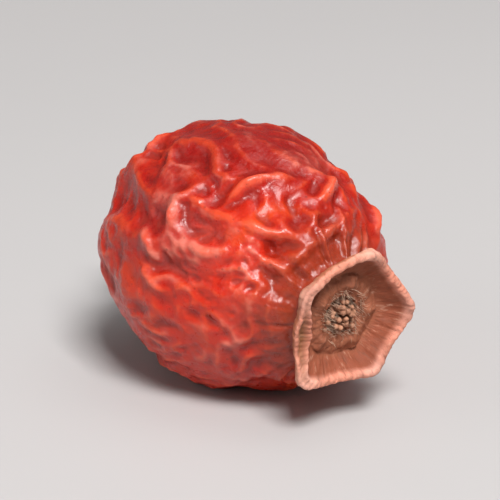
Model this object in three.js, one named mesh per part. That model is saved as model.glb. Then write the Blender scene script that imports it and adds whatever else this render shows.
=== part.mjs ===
// A dried rose hip lying on its side, in millimetres, +Z up.
// Its open calyx faces -Y, its broken stalk +Y, and it rests on a flattened spot of its belly.
import * as THREE from 'three';

// Body: an egg whose narrow end is cut off where the neck carries the calyx
const BODY_LENGTH = 13.2;
const BELLY_RADIUS = 6.05;
const EGG_ROUNDNESS = 0.96; // power of the sine, below 1 for a blunter egg
const EGG_TAPER = 0.06; // share by which the stalk end is fuller than the calyx end
const STALK_END_TURN = 11; // degrees round the egg where the seat of the stalk begins
const NECK_TURN = 155; // degrees round the egg where the neck ends
const BODY_ROWS = 50;
const BODY_COLUMNS = 96;

// Seats sunk into the two ends of the body
const STALK_SEAT_RADIUS = 1.0;
const STALK_SEAT_DEPTH = 0.3;
const STALK_LIP_RISE = 0.1;
const STALK_LIP_WIDTH = 0.12;
const COLLAR_SEAT_RADIUS = 2.3;
const COLLAR_SEAT_DEPTH = 0.4;
const SEAT_TAPER = 0.97; // width of the collar's seat at its floor, as a share of that at its mouth
const NECK_LIP_RISE = 0.02;
const SEAT_GAP = 0.16;

// Wrinkles of the dried skin, each a size across and a height
const LUMP_SIZE = 6.5;
const LUMP_HEIGHT = 0.4;
const PLEATS_ROUND = 12;
const PLEAT_LENGTH = 6.0;
const PLEAT_DEPTH = 0.8;
const PLEAT_SWAY = 0.35; // radians by which a pleat wanders off its straight run
const SWAY_SIZE = 4;
const PLEAT_AT_BELLY = 0.75; // share of the pleats' depth at the belly
const PLEAT_TO_END = 0.6; // share added by the square of the way out to an end
const NET_SIZE = 1.8;
const NET_STRETCH = 1.35; // how much longer than wide a facet of the net is, along the hip
const NET_DEPTH = 1.2;
const PATCH_SIZE = 5.2; // across the patches in which the net is deeper or shallower
const PATCH_MEAN = 0.75;
const PATCH_SWING = 0.9;
const WARP_SIZE = 3.2;
const WARP_REACH = 0.9;
const CREST_ROUNDING = 0.07; // in units of noise, how blunt the crest between two facets is
const END_FADE = 0.6; // the wrinkles die out over this length at both ends

// Places where the skin stayed taut: angle round the hip, station along it, reach,
// and the share of the wrinkles' height left there
const TAUT_PLACES = [
  { angle: 270, station: 4.3, reach: 2.7, share: 0.4 },
  { angle: 4, station: 1.4, reach: 2.4, share: 0.7 },
  { angle: 150, station: 1.3, reach: 2.8, share: 0.75 },
];
const TAUT_CORE = 0.35; // share of the reach within which that is all that is left

// A fold is a blunt-topped tent of pinched skin in a broad shallow trough
const FOLD_TAPER = 1.0; // power by which it dies away along its half length
const FOLD_STEEPNESS = 1.6; // how steeply its flanks fall off
const FOLD_BLUNTNESS = 0.35; // half widths over which its crest is rounded
const FOLD_CREST = 1.35; // height of the tent, as a share of the fold's height
const FOLD_TROUGH = 0.55; // depth of the trough, as a share of the fold's height
const TROUGH_BREADTH = 2.5; // half widths
const FOLD_BOUND = 5.5; // beyond this distance, as round on the far side, it is gone
const FOLD_FULL_RISE = 0.25; // where a fold rises by this or more, the other wrinkles give way
const CLEAR_OF_NET = 0.5; // share by which they do

// Folds: angle and station of the middle, heading away from the line of the hip,
// half length, half width, height and how far its ends bow
const FOLDS = [
  { angle: 341, station: 3.2, heading: 73, length: 1.5, width: 0.52, height: 0.36, bow: -0.12 },
  { angle: 324, station: 4.9, heading: 23, length: 1.0, width: 0.5, height: 0.34, bow: 0.08 },
  { angle: 307, station: 1.3, heading: -70, length: 0.85, width: 0.5, height: 0.32, bow: 0.15 },
  { angle: 14, station: 4.5, heading: -44, length: 1.0, width: 0.5, height: 0.34, bow: 0.0 },
  { angle: 290, station: 0.9, heading: -37, length: 0.9, width: 0.5, height: 0.32, bow: 0.0 },
  { angle: 1, station: 6.0, heading: -66, length: 1.4, width: 0.45, height: 0.28, bow: 0.0 },
  { angle: 298, station: 3.2, heading: 4, length: 0.8, width: 0.48, height: 0.24, bow: 0.0 },
  { angle: 53, station: 4.7, heading: -4, length: 0.9, width: 0.5, height: 0.3, bow: 0.0 },
  { angle: 312, station: 5.8, heading: 10, length: 0.9, width: 0.45, height: 0.22, bow: 0.1 },
  { angle: 276, station: 1.4, heading: -29, length: 0.8, width: 0.48, height: 0.24, bow: 0.2 },
  { angle: 328, station: -3.0, heading: 78, length: 1.1, width: 0.5, height: 0.3, bow: 0.1 },
];

// Broad dents where the flesh has sunk: angle, station, reach and depth
const DENTS = [
  { angle: 30, station: -2.8, reach: 2.4, depth: 0.35 },
  { angle: 66, station: 1.4, reach: 2.4, depth: 0.4 },
  { angle: 236, station: -2.1, reach: 2.4, depth: 0.35 },
];

// Collar: the woody five-angled cup left where the sepals fell
const CORNER_ANGLES = [16, 92, 153, 227, 305];
const CORNER_RADII = [3.35, 3.45, 3.2, 3.7, 3.4];
const CORNER_ROUNDING = 7; // degrees either side over which a corner is rounded off
const SIDE_BOW = 0.05; // share by which a side bulges between its corners
const COLLAR_FOOT_RADIUS = 2.12;
const COLLAR_HEIGHT = 1.8;
const FLARE_START = 0.1; // shares of its height between which it flares out
const FLARE_END = 1.1;
const WAIST_DEPTH = 0.1;
const WAIST_SHARE = 0.625; // share of its height that the waist takes
const CORNER_LIFT = 0.14; // how far the rim rises to a corner and sinks between two
const LIFT_BREADTH = 20; // degrees
const RAGGED_HEIGHT = 0.14; // how far the rim's height wanders besides
const RAGGED_WAVES = 2.4;
const RIM_CROWN = 0.2; // height of the rim's rounded top
const RIM_WALL = 0.55;
const THICK_SIDE = 264; // the side where the rim is thicker, with a groove along its crown
const THICK_BREADTH = 30;
const THICKER = 0.5;
const GROOVE_DEPTH = 0.3;
const LEAST_LEAN = 0.05; // the inside leans in towards the dish at least this much
const INSIDE_LEAN = 0.8; // powers of the way down by which it nears the dish in radius
const INSIDE_DROP = 0.75; // and in height
const CREASE_DEPTH = 0.12; // up the inside to each corner
const DISH_LEVEL = 0.82;
const DISH_RADIUS = 1.85;
const SOCKET_RADIUS = 0.95;
const SOCKET_LEVEL = 0.4;
const DISH_SWELL = 0.12;
const SWELL_REACH = 0.6;
const RIB_HEIGHT = 0.14; // ribs up to the corners outside, and ridges to them in the dish
const RIB_BREADTH = 12; // degrees
const RIDGE_FADE = 0.4;
const COLLAR_COLUMNS = 60;

// Tuft: the dried styles, bunched in the socket of the dish
const TUFT_RADIUS = 0.78;
const TUFT_TOP = 1.42;
const STYLE_COUNT = 8;
const STYLE_RELIEF = 0.12;
const STYLE_TIP_RISE = 0.16;
const TUFT_COLUMNS = 32;

// Stalk: the stub that stayed on when the hip was picked
const STALK_RADIUS = 0.68;
const STALK_LENGTH = 1.9;
const STALK_BEND = 0.35;
const STALK_SWELL = 1.14; // times as thick where it joins the hip
const BREAK_SWELL = 0.1; // share by which it is thicker again at the break
const STALK_RIBS = 7;
const STALK_RELIEF = 0.045;
const STALK_COLUMNS = 28;

// Pose on the ground
const NOSE_DOWN = 4.5; // degrees by which the calyx end hangs
const REST_LEVEL = 5.5; // from the line of the hip down to the flattened spot

const { sin, cos, sqrt, abs, exp, min, max, floor, pow, PI } = Math;
const radians = THREE.MathUtils.degToRad;
const smooth = THREE.MathUtils.smoothstep;
const blend = THREE.MathUtils.lerp;

// A whole number for each cell of space, the same on every run
function cellHash(x, y, z) {
  let hash = Math.imul(x, 0x8da6b343) ^ Math.imul(y, 0xd8163841) ^ Math.imul(z, 0xcb1ab31f);
  hash = Math.imul(hash ^ (hash >>> 13), 0x5bd1e995);
  return (hash ^ (hash >>> 15)) >>> 0;
}

// The slope kept at a corner of the noise's grid, times the way from that corner
function cornerSlope(x, y, z, dx, dy, dz) {
  const hash = cellHash(x, y, z);
  const gx = (hash & 1023) / 511.5 - 1;
  const gy = ((hash >>> 10) & 1023) / 511.5 - 1;
  const gz = ((hash >>> 20) & 1023) / 511.5 - 1;
  return gx * dx + gy * dy + gz * dz;
}

// Smooth noise of space, about -0.7 to 0.7, zero at the corners of its grid.
// A number added to its inputs only picks another stretch of it.
function noise(x, y, z) {
  const ix = floor(x);
  const iy = floor(y);
  const iz = floor(z);
  const dx = x - ix;
  const dy = y - iy;
  const dz = z - iz;
  const ease = (t) => t * t * t * (t * (t * 6 - 15) + 10);
  let sum = 0;
  for (let corner = 0; corner < 8; corner++) {
    const cx = corner & 1;
    const cy = (corner >> 1) & 1;
    const cz = corner >> 2;
    const shareX = cx ? ease(dx) : 1 - ease(dx);
    const shareY = cy ? ease(dy) : 1 - ease(dy);
    const shareZ = cz ? ease(dz) : 1 - ease(dz);
    sum += shareX * shareY * shareZ * cornerSlope(ix + cx, iy + cy, iz + cz, dx - cx, dy - cy, dz - cz);
  }
  return sum;
}

// Zero on a crest, falling away to a hollow facet on both sides of it
function crumple(value) {
  return CREST_ROUNDING - sqrt(value * value + CREST_ROUNDING * CREST_ROUNDING);
}

// A point at an angle round the hip (from +Z towards +X), a distance off its line and a station along it
function around(angle, radius, station) {
  return new THREE.Vector3(radius * sin(angle), -station, radius * cos(angle));
}

// The plain egg: distance off the line and station along it, at a turn round the egg in radians
function egg(turn) {
  const fullLength = (2 * BODY_LENGTH) / (1 - cos(radians(NECK_TURN)));
  return {
    radius: BELLY_RADIUS * pow(sin(turn), EGG_ROUNDNESS) * (1 + EGG_TAPER * cos(turn)),
    station: (fullLength * (1 - cos(turn))) / 2 - BODY_LENGTH / 2,
  };
}

// The turn round the egg at which it reaches a station
function turnAt(station) {
  const fullLength = (2 * BODY_LENGTH) / (1 - cos(radians(NECK_TURN)));
  return Math.acos(1 - (2 * (station + BODY_LENGTH / 2)) / fullLength);
}

// A place on the plain egg with its outward, lengthwise and sideways directions
function eggFrame(angle, turn) {
  const here = egg(turn);
  const next = egg(turn + 0.001);
  const place = around(angle, here.radius, here.station);
  const along = around(angle, next.radius, next.station).sub(place).normalize();
  const side = new THREE.Vector3(cos(angle), 0, -sin(angle));
  const out = new THREE.Vector3().crossVectors(along, side).normalize();
  if (out.dot(around(angle, 1, 0)) < 0) out.negate();
  return { place, out, along, side };
}

// A feature of the skin with the place of its middle on the egg
function withMiddle(feature) {
  return { ...feature, middle: eggFrame(radians(feature.angle), turnAt(feature.station)).place };
}

// Each fold with its middle on the egg and its directions worked out
const foldFrames = FOLDS.map((fold) => {
  const frame = eggFrame(radians(fold.angle), turnAt(fold.station));
  const heading = radians(fold.heading);
  const forward = frame.along.clone().multiplyScalar(cos(heading));
  forward.addScaledVector(frame.side, sin(heading));
  const across = new THREE.Vector3().crossVectors(frame.out, forward);
  return { ...fold, middle: frame.place, forward, across };
});

const dentPlaces = DENTS.map(withMiddle);
const tautPlaces = TAUT_PLACES.map(withMiddle);

// How far a fold stands up at a place, or sinks beside it
function foldRise(fold, place) {
  const way = place.clone().sub(fold.middle);
  const forward = way.dot(fold.forward) / fold.length;
  const bowed = fold.bow * pow(forward * fold.length, 2);
  const across = (way.dot(fold.across) - bowed) / fold.width;
  const reach = exp(-FOLD_TAPER * forward * forward) * exp(-way.lengthSq() / pow(FOLD_BOUND, 2));
  const offCrest = sqrt(across * across + FOLD_BLUNTNESS * FOLD_BLUNTNESS) - FOLD_BLUNTNESS;
  const tent = FOLD_CREST * exp(-FOLD_STEEPNESS * offCrest);
  const trough = FOLD_TROUGH * exp(-pow(across / TROUGH_BREADTH, 2));
  return fold.height * reach * (tent - trough);
}

// How far the dried skin stands off the plain egg at a place on it
function skinRise(place, angle, station) {
  const { x, y, z } = place;
  const wx = x + WARP_REACH * noise(x / WARP_SIZE + 7.3, y / WARP_SIZE, z / WARP_SIZE);
  const wy = y + WARP_REACH * noise(x / WARP_SIZE, y / WARP_SIZE + 19.1, z / WARP_SIZE);
  const wz = z + WARP_REACH * noise(x / WARP_SIZE, y / WARP_SIZE, z / WARP_SIZE + 31.7);
  const lump = LUMP_HEIGHT * noise(x / LUMP_SIZE + 3.4, y / LUMP_SIZE + 1.9, z / LUMP_SIZE);
  const roundness = PLEATS_ROUND / (2 * PI);
  const sway = PLEAT_SWAY * noise(x / SWAY_SIZE, y / SWAY_SIZE + 5.5, z / SWAY_SIZE);
  const pleat = crumple(
    noise(roundness * sin(angle + sway) + 11.2, station / PLEAT_LENGTH, roundness * cos(angle + sway)),
  );
  const net = crumple(noise(wx / NET_SIZE + 2.2, wy / (NET_SIZE * NET_STRETCH), wz / NET_SIZE + 4.7));
  const patches = PATCH_MEAN + PATCH_SWING * noise(x / PATCH_SIZE, y / PATCH_SIZE, z / PATCH_SIZE + 9.9);
  const endPull = PLEAT_AT_BELLY + PLEAT_TO_END * pow(abs(station) / (BODY_LENGTH / 2), 2);
  let slack = 1;
  for (const { middle, reach, share } of tautPlaces) {
    slack = min(slack, blend(share, 1, smooth(place.distanceTo(middle), reach * TAUT_CORE, reach)));
  }
  let rise = slack * (PLEAT_DEPTH * endPull * pleat + NET_DEPTH * patches * net);
  const crests = foldFrames.map((fold) => foldRise(fold, place));
  rise *= 1 - CLEAR_OF_NET * min(1, max(...crests.map(abs)) / FOLD_FULL_RISE);
  for (const crest of crests) rise += crest;
  for (const dent of dentPlaces) {
    const far = place.distanceTo(dent.middle) / dent.reach;
    rise -= dent.depth * exp(-far * far);
  }
  const toEnd = BODY_LENGTH / 2 - abs(station);
  return (rise + lump) * smooth(toEnd, 0, END_FADE);
}

// What lies below the ground's level is pressed up onto it, so the hip has a small flat to rest on
function pressFlat(point) {
  const down = new THREE.Vector3(0, -sin(radians(NOSE_DOWN)), -cos(radians(NOSE_DOWN)));
  const below = point.dot(down) - REST_LEVEL;
  return below > 0 ? point.addScaledVector(down, -below) : point;
}

// A closed skin through rings of equal point count, with a single point at each end of it
function closedSkin(firstPoint, rings, lastPoint) {
  const columns = rings[0].length;
  const points = [firstPoint, ...rings.flat(), lastPoint];
  const positions = new Float32Array(points.flatMap((point) => point.toArray()));
  const triangles = [];
  const index = (row, column) => 1 + row * columns + (column % columns);
  for (let column = 0; column < columns; column++) {
    triangles.push(0, index(0, column), index(0, column + 1));
    for (let row = 0; row + 1 < rings.length; row++) {
      const near = index(row, column);
      const nearNext = index(row, column + 1);
      const far = index(row + 1, column);
      const farNext = index(row + 1, column + 1);
      const straight = points[near].distanceTo(points[farNext]);
      if (straight < points[far].distanceTo(points[nearNext])) {
        triangles.push(near, far, farNext);
        triangles.push(near, farNext, nearNext);
      } else {
        triangles.push(near, far, nearNext);
        triangles.push(nearNext, far, farNext);
      }
    }
    triangles.push(index(rings.length - 1, column), points.length - 1, index(rings.length - 1, column + 1));
  }
  const geometry = new THREE.BufferGeometry();
  geometry.setAttribute('position', new THREE.BufferAttribute(positions, 3));
  geometry.setIndex(triangles);
  geometry.computeVertexNormals();
  return geometry;
}

// One ring of points, a rule giving each point from its angle
function ring(columns, rule) {
  return Array.from({ length: columns }, (_, column) => rule((column / columns) * 2 * PI));
}

// The wrinkled body between the seat of its stalk and the seat of its collar
function fleshGeometry() {
  const plainRing = (radius, station) => ring(BODY_COLUMNS, (angle) => around(angle, radius, station));
  const startTurn = radians(STALK_END_TURN);
  const endTurn = radians(NECK_TURN);
  const stalkEnd = egg(startTurn).station;
  const neckEnd = BODY_LENGTH / 2;
  const neckRadius = egg(endTurn).radius;
  const rings = [
    plainRing(STALK_SEAT_RADIUS * 0.6, stalkEnd + STALK_SEAT_DEPTH),
    plainRing(STALK_SEAT_RADIUS, stalkEnd + STALK_SEAT_DEPTH),
    plainRing(STALK_SEAT_RADIUS + STALK_LIP_WIDTH, stalkEnd - STALK_LIP_RISE),
  ];
  for (let row = 0; row <= BODY_ROWS; row++) {
    const turn = blend(startTurn, endTurn, row / BODY_ROWS);
    const { station } = egg(turn);
    const wrinkled = (angle) => {
      const { place, out } = eggFrame(angle, turn);
      return pressFlat(place.clone().addScaledVector(out, skinRise(place, angle, station)));
    };
    rings.push(ring(BODY_COLUMNS, wrinkled));
  }
  rings.push(plainRing(blend(neckRadius, COLLAR_SEAT_RADIUS, 0.6), neckEnd + NECK_LIP_RISE));
  rings.push(plainRing(COLLAR_SEAT_RADIUS, neckEnd - COLLAR_SEAT_DEPTH * 0.4));
  rings.push(plainRing(COLLAR_SEAT_RADIUS * SEAT_TAPER, neckEnd - COLLAR_SEAT_DEPTH));
  rings.push(plainRing(COLLAR_SEAT_RADIUS * 0.5, neckEnd - COLLAR_SEAT_DEPTH));
  const firstPoint = around(0, 0, stalkEnd + STALK_SEAT_DEPTH);
  const lastPoint = around(0, 0, neckEnd - COLLAR_SEAT_DEPTH);
  return closedSkin(firstPoint, rings, lastPoint);
}

// Distance from the middle to the straight-sided five-angled outline, at an angle in degrees
function sharpOutline(angle) {
  const count = CORNER_ANGLES.length;
  for (let corner = 0; corner < count; corner++) {
    const next = (corner + 1) % count;
    const span = (CORNER_ANGLES[next] - CORNER_ANGLES[corner] + 360) % 360;
    const way = (((angle - CORNER_ANGLES[corner]) % 360) + 360) % 360;
    if (way > span) continue;
    const near = CORNER_RADII[corner];
    const far = CORNER_RADII[next];
    const across = near * sin(radians(way)) + far * sin(radians(span - way));
    const straight = (near * far * sin(radians(span))) / across;
    return straight * (1 + SIDE_BOW * sin((PI * way) / span));
  }
  return CORNER_RADII[0];
}

// The outline with its corners rounded: the mean over a few degrees each side
function outline(angle) {
  const degrees = THREE.MathUtils.radToDeg(angle);
  let sum = 0;
  for (let step = -3; step <= 3; step++) sum += sharpOutline(degrees + (step / 3) * CORNER_ROUNDING);
  return sum / 7;
}

// Near 1 on the line from the middle to a corner, 0 between corners
function cornerShare(angle, breadth) {
  let share = 0;
  for (const corner of CORNER_ANGLES) {
    const apart = abs(((THREE.MathUtils.radToDeg(angle) - corner + 540) % 360) - 180);
    share = max(share, exp(-pow(apart / breadth, 2)));
  }
  return share;
}

// Near 1 in the middle of the thick side of the rim, 0 away from it
function thickShare(angle) {
  const apart = ((THREE.MathUtils.radToDeg(angle) - THICK_SIDE + 540) % 360) - 180;
  return exp(-pow(apart / THICK_BREADTH, 2));
}

// The collar: up its flared outside, over the rim, down the inside, across the dish and into the socket
function collarGeometry() {
  const foot = BODY_LENGTH / 2 - COLLAR_SEAT_DEPTH + SEAT_GAP;
  const rimHeight = (angle) => {
    const ragged = RAGGED_HEIGHT * noise(RAGGED_WAVES * sin(angle) + 0.7, 3.1, RAGGED_WAVES * cos(angle));
    return COLLAR_HEIGHT - CORNER_LIFT + 2 * CORNER_LIFT * cornerShare(angle, LIFT_BREADTH) + ragged;
  };
  const outside = (share) => ring(COLLAR_COLUMNS, (angle) => {
    const flare = smooth(share, FLARE_START, FLARE_END);
    const ribbed = smooth(share, 0.2, 0.6) * (1 - smooth(share, 0.8, 1));
    const rib = RIB_HEIGHT * cornerShare(angle, RIB_BREADTH) * ribbed;
    const waist = WAIST_DEPTH * sin(PI * min(1, share / WAIST_SHARE));
    const radius = blend(COLLAR_FOOT_RADIUS, outline(angle), flare) - waist + rib;
    return around(angle, radius, foot + share * (rimHeight(angle) - RIM_CROWN));
  });
  const wall = (angle) => RIM_WALL + THICKER * thickShare(angle);
  const dishRadius = (angle) => min(DISH_RADIUS, outline(angle) - wall(angle) - LEAST_LEAN);
  const overRim = (share, drop, groove) => ring(COLLAR_COLUMNS, (angle) => {
    const height = rimHeight(angle) - drop - groove * GROOVE_DEPTH * thickShare(angle);
    return around(angle, outline(angle) - share * wall(angle), foot + height);
  });
  const inside = (share) => ring(COLLAR_COLUMNS, (angle) => {
    const crease = CREASE_DEPTH * cornerShare(angle, RIB_BREADTH) * sin(PI * share);
    const radius = blend(outline(angle) - wall(angle), dishRadius(angle), pow(share, INSIDE_LEAN));
    const height = blend(rimHeight(angle) - RIM_CROWN, DISH_LEVEL, pow(share, INSIDE_DROP));
    return around(angle, radius + crease, foot + height);
  });
  const dish = (radius) => ring(COLLAR_COLUMNS, (angle) => {
    const ridged = smooth(radius, SOCKET_RADIUS, SOCKET_RADIUS + RIDGE_FADE);
    const ridge = RIB_HEIGHT * cornerShare(angle, RIB_BREADTH) * ridged;
    const swell = DISH_SWELL * smooth(DISH_RADIUS - radius, 0, SWELL_REACH);
    return around(angle, radius, foot + DISH_LEVEL + ridge + swell);
  });
  const plain = (radius, height) => ring(COLLAR_COLUMNS, (angle) => around(angle, radius, foot + height));
  const rings = [plain(COLLAR_FOOT_RADIUS * 0.6, 0), plain(COLLAR_FOOT_RADIUS - 0.1, 0)];
  for (const share of [0.08, 0.28, 0.5, 0.7, 0.86, 1]) rings.push(outside(share));
  const shoulder = RIM_CROWN * 0.15;
  rings.push(overRim(0.22, shoulder, 0));
  rings.push(overRim(0.5, 0, 1));
  rings.push(overRim(0.78, shoulder, 0));
  for (const share of [0, 0.25, 0.5, 0.75, 1]) rings.push(inside(share));
  for (const radius of [1.5, 1.2, SOCKET_RADIUS + 0.05]) rings.push(dish(radius));
  rings.push(plain(SOCKET_RADIUS, SOCKET_LEVEL));
  rings.push(plain(SOCKET_RADIUS * 0.5, SOCKET_LEVEL));
  return closedSkin(around(0, 0, foot), rings, around(0, 0, foot + SOCKET_LEVEL));
}

// The tuft: a short bundle with a groove between each style and the next, domed on top
function tuftGeometry() {
  const base = BODY_LENGTH / 2 - COLLAR_SEAT_DEPTH + SEAT_GAP + SOCKET_LEVEL + SEAT_GAP;
  const top = BODY_LENGTH / 2 - COLLAR_SEAT_DEPTH + SEAT_GAP + TUFT_TOP;
  const groove = (angle) => STYLE_RELIEF * (abs(cos((STYLE_COUNT * angle) / 2)) - 0.6);
  const bundle = (share, height) => ring(TUFT_COLUMNS, (angle) => {
    const tip = STYLE_TIP_RISE * share * abs(cos((STYLE_COUNT * angle) / 2 + 0.4));
    const level = height + tip * smooth(height, base, top);
    return around(angle, (TUFT_RADIUS + groove(angle)) * share, level);
  });
  const rings = [
    bundle(0.6, base),
    bundle(0.95, base),
    bundle(0.9, blend(base, top, 0.35)),
    bundle(0.95, blend(base, top, 0.7)),
    bundle(0.85, blend(base, top, 0.9)),
    bundle(0.6, top),
    bundle(0.3, top + 0.05),
  ];
  return closedSkin(around(0, 0, base), rings, around(0, 0, top));
}

// The stalk: a ribbed stub that bends a little and ends in a torn face
function stalkGeometry() {
  const start = egg(radians(STALK_END_TURN)).station + STALK_SEAT_DEPTH - SEAT_GAP;
  const section = (share, scale, torn) => ring(STALK_COLUMNS, (angle) => {
    const rib = STALK_RELIEF * cos(STALK_RIBS * angle);
    const swollen = blend(STALK_SWELL, 1, smooth(share, 0.25, 0.6)) + BREAK_SWELL * smooth(share, 0.75, 1);
    const radius = (STALK_RADIUS * swollen + rib) * scale;
    const tear = torn * noise(3 * sin(angle) + 8.1, 1.3 + scale, 3 * cos(angle));
    const point = around(angle, radius, start - STALK_LENGTH * share + tear);
    point.z += STALK_BEND * share * share;
    return point;
  });
  const rings = [section(0, 0.5, 0), section(0, 0.96, 0)];
  for (const share of [0.12, 0.3, 0.5, 0.7, 0.88]) rings.push(section(share, 1, 0));
  rings.push(section(0.97, 0.98, 0.3));
  rings.push(section(0.96, 0.66, 0.4));
  rings.push(section(0.9, 0.33, 0.3));
  const middleOfTear = around(0, 0, start - STALK_LENGTH * 0.92);
  middleOfTear.z += STALK_BEND * 0.85;
  rings.reverse();
  return closedSkin(middleOfTear, rings, around(0, 0, start));
}

function piece(name, geometry, colour, roughness) {
  const material = new THREE.MeshStandardMaterial({ color: colour, roughness, metalness: 0 });
  const mesh = new THREE.Mesh(geometry, material);
  mesh.name = name;
  return mesh;
}

const hip = new THREE.Group();
hip.add(piece('hip_flesh', fleshGeometry(), 0xb0301f, 0.38));
hip.add(piece('calyx_collar', collarGeometry(), 0xb98466, 0.75));
hip.add(piece('style_tuft', tuftGeometry(), 0x6b4230, 0.9));
hip.add(piece('stalk_stub', stalkGeometry(), 0x6f4a30, 0.85));
hip.rotation.x = radians(NOSE_DOWN);

// The origin is on the ground, under the middle of the hip's box
const roseHip = new THREE.Group();
roseHip.add(hip);
roseHip.updateMatrixWorld(true);
const box = new THREE.Box3().setFromObject(roseHip, true);
hip.position.set(-(box.min.x + box.max.x) / 2, -(box.min.y + box.max.y) / 2, -box.min.z);
roseHip.updateMatrixWorld(true);

export default roseHip;
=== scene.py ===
"""A dried rose hip on a pale ground: its wrinkled skin, woody calyx collar, dried styles and broken stalk.

Lengths are in millimetres until a mesh is made, then in metres, as the frame is. Stations run along the hip
from its middle to the calyx. A relief round the hip is a pair of its height and its waves.
"""
import bpy
import numpy as np
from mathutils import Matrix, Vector


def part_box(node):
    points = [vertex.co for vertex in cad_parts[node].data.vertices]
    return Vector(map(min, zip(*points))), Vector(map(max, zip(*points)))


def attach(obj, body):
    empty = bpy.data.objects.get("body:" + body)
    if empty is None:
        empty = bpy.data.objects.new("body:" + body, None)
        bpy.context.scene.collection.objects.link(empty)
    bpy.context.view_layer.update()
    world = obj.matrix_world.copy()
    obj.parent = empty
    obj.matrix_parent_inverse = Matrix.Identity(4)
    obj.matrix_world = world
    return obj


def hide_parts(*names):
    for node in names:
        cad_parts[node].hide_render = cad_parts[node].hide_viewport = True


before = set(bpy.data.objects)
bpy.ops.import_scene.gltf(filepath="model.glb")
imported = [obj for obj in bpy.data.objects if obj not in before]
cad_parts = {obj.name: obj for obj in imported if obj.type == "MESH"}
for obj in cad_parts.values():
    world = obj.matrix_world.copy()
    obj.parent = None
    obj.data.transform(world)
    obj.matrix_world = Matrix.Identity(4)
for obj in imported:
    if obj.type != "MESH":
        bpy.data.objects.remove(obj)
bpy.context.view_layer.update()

MM = 0.001
FULL_TURN = 2 * np.pi
GOLDEN_TURN = 2.39996
TURN_STEP = 0.001
SEED = 20

# Body: the same egg and wrinkles as the solid hip_flesh
BODY_LENGTH = 13.2
HALF_LENGTH = BODY_LENGTH / 2
BELLY_RADIUS = 6.05
EGG_ROUNDNESS = 0.96
EGG_TAPER = 0.06
STALK_END_TURN = 11
NECK_TURN = 155
WHOLE_EGG = 2 * BODY_LENGTH / (1 - np.cos(np.radians(NECK_TURN)))
CAD_ROWS = 50
CAD_COLUMNS = 96
STALK_SEAT_RADIUS = 1.0
STALK_SEAT_DEPTH = 0.3
STALK_LIP_RISE = 0.1
STALK_LIP_WIDTH = 0.12
COLLAR_SEAT_RADIUS = 2.3
COLLAR_SEAT_DEPTH = 0.4
NECK_LIP_SHARE = 0.6
NECK_LIP_RISE = 0.02
SEAT_GAP = 0.16
LUMP_SIZE = 6.5
LUMP_HEIGHT = 0.4
PLEATS_ROUND = 12
PLEAT_LENGTH = 6.0
PLEAT_DEPTH = 0.8
PLEAT_SWAY = 0.35
SWAY_SIZE = 4
PLEAT_AT_BELLY = 0.75
PLEAT_TO_END = 0.6
NET_SIZE = 1.8
NET_STRETCH = 1.35
NET_DEPTH = 1.2
PATCH_SIZE = 5.2
PATCH_MEAN = 0.75
PATCH_SWING = 0.9
WARP_SIZE = 3.2
WARP_REACH = 0.9
CREST_ROUNDING = 0.07
END_FADE = 0.6
TAUT_CORE = 0.35
FOLD_TAPER = 1.0
FOLD_STEEPNESS = 1.6
FOLD_BLUNTNESS = 0.35
FOLD_CREST = 1.35
FOLD_TROUGH = 0.55
TROUGH_BREADTH = 2.5
FOLD_BOUND = 5.5
FOLD_FULL_RISE = 0.25
CLEAR_OF_NET = 0.5
NOSE_DOWN = 4.5
REST_LEVEL = 5.5

# Taut places: angle round the hip, station along it, reach and share of wrinkles left
TAUT_PLACES = [
    (270, 4.3, 2.7, 0.4),
    (4, 1.4, 2.4, 0.7),
    (150, 1.3, 2.8, 0.75),
]
# Folds: angle, station, heading, half length, half width, height and bow
FOLDS = [
    (341, 3.2, 73, 1.5, 0.52, 0.36, -0.12),
    (324, 4.9, 23, 1.0, 0.5, 0.34, 0.08),
    (307, 1.3, -70, 0.85, 0.5, 0.32, 0.15),
    (14, 4.5, -44, 1.0, 0.5, 0.34, 0.0),
    (290, 0.9, -37, 0.9, 0.5, 0.32, 0.0),
    (1, 6.0, -66, 1.4, 0.45, 0.28, 0.0),
    (298, 3.2, 4, 0.8, 0.48, 0.24, 0.0),
    (53, 4.7, -4, 0.9, 0.5, 0.3, 0.0),
    (312, 5.8, 10, 0.9, 0.45, 0.22, 0.1),
    (276, 1.4, -29, 0.8, 0.48, 0.24, 0.2),
    (328, -3.0, 78, 1.1, 0.5, 0.3, 0.1),
]
# Dents: angle, station, reach and depth
DENTS = [
    (30, -2.8, 2.4, 0.35),
    (66, 1.4, 2.4, 0.4),
    (236, -2.1, 2.4, 0.35),
]

# Finer wrinkles that only the skin's own mesh carries. A mean gives back the depth that crumpling takes off
SKIN_ROWS = 226
SKIN_COLUMNS = 388
FINE_ROUNDING = 0.05
FINE_NET_SIZE = 0.95
FINE_NET_STRETCH = 1.25
FINE_NET_DEPTH = 0.32
FINE_NET_MEAN = 0.14
CREPE_SIZE = 0.5
CREPE_STRETCH = 1.4
CREPE_DEPTH = 0.18
CREPE_ROUNDING = 0.08
CREPE_MEAN = 0.1
CREPE_PATCH_SIZE = 2.6
CREPE_PATCH_EDGE = 0.25
PUCKER_SIZE = 0.36
PUCKER_HEIGHT = 0.03
CREASE_SIZE = 0.85
CREASE_DEPTH = 0.4
CREASE_MEAN = 0.12
CREASED_FOLD = (0.1, 0.7)
SPOKE_SWAY = (0.25, 2)
SPOKE_TURNS = 3.0
SPOKE_LENGTH = 5
SPOKE_DEPTH = 0.7
SPOKE_MEAN = 0.12
SIDE_SPOKE_TIMES = 2.4
SIDE_SPOKE_LENGTH = 1.6
SIDE_SPOKE_SHARE = 0.3
SPOKED_FROM = 0.62
SPOKED_FULLY = 0.94
FINE_LEFT = 0.5
FINE_FADE = 0.4

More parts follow.
